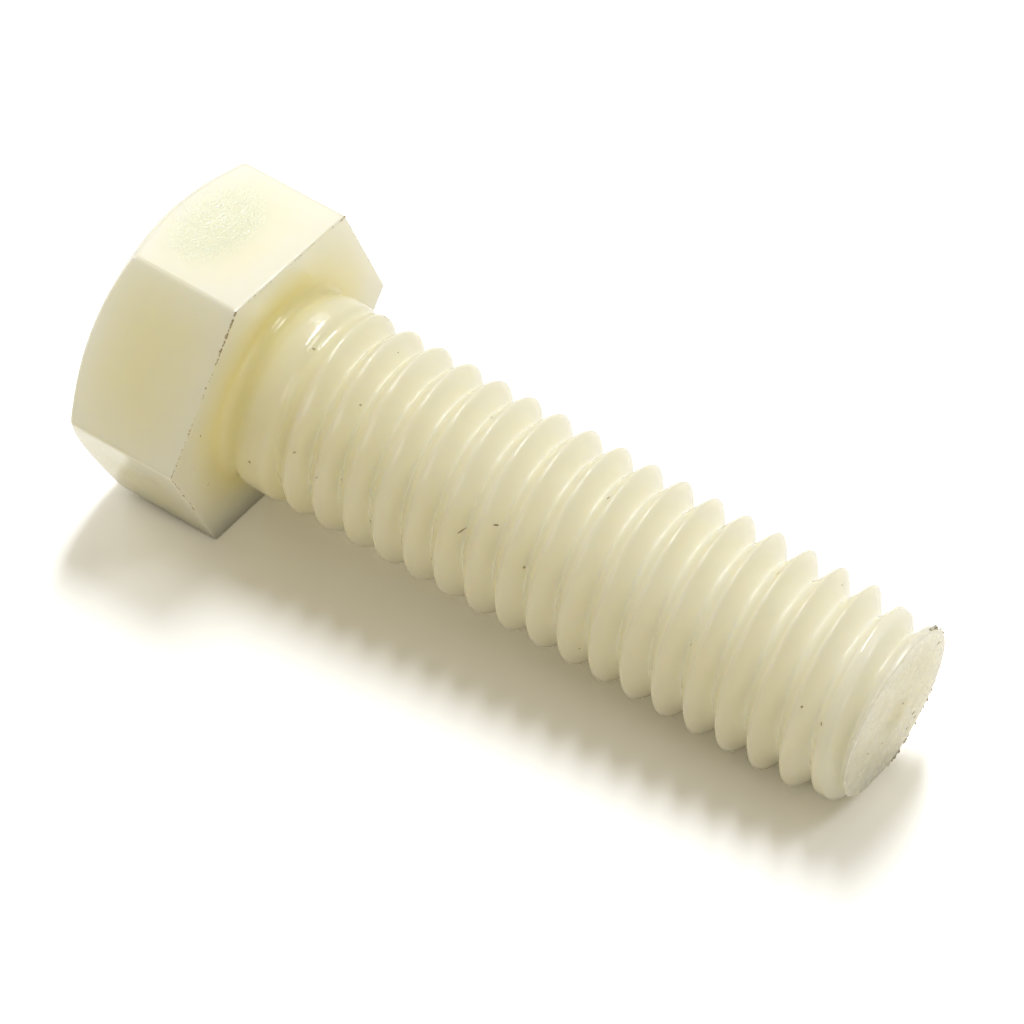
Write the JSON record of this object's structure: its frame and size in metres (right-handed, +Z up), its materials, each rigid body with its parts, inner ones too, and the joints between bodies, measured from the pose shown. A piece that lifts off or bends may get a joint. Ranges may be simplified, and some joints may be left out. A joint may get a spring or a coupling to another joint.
{
  "type": "hex head cap screw",
  "caption": "Moulded nylon hex head cap screw with a coarse right-hand thread along the whole shank, lying on its side.",
  "frame": {"origin": "centre of the screw's footprint on the floor it lies on", "axes": "+X along the screw from head to tip, +Z up; the screw's own axis dips about 4.7 degrees towards the tip, and the head's flats face up and down"},
  "size_m": [0.0388, 0.0162, 0.0144],
  "materials": {
    "nylon": "natural translucent nylon, satin moulded skin with glossy flats"
  },
  "bodies": {
    "root": {"cap_screw": "nylon"}
  },
  "joints": []
}
